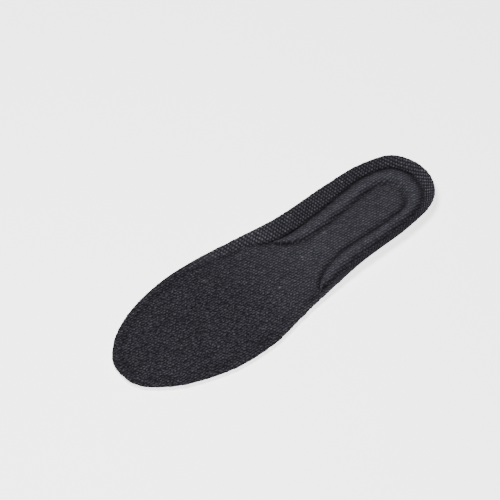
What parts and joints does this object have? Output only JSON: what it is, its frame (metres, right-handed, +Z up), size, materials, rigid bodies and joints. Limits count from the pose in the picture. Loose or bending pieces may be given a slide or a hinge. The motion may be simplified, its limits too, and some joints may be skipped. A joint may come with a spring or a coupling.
{
  "type": "cushioned insole",
  "caption": "Full-length left shoe insole: knit top cover with a cupped heel and a U-shaped cushion ridge over a bead-textured foam base with vent holes.",
  "frame": {"origin": "middle of the outline's bounding box, on the floor under the flat sole", "axes": "+Z up out of the foot side, +Y from toe to heel, +X towards the little-toe side"},
  "size_m": [0.091, 0.2694, 0.0139],
  "materials": {
    "knit_fabric": "matte charcoal knit with lighter grey flecks",
    "backing_film": "dull beige bonding web",
    "bead_foam": "satin white moulded bead foam"
  },
  "bodies": {
    "rear": {"knit_cover_rear": "knit_fabric", "backing_film_rear": "backing_film", "foam_base_rear": "bead_foam"},
    "forefoot": {"knit_cover_forefoot": "knit_fabric", "backing_film_forefoot": "backing_film", "foam_base_forefoot": "bead_foam"}
  },
  "joints": [
    {"name": "ball_flex", "type": "hinge", "parent": "rear", "child": "forefoot", "pos_m": [0, -0.051, 0.0043], "axis": [-1, 0, 0], "range_deg": [0, 50], "stiffness_Nm_per_rad": 0.06}
  ]
}
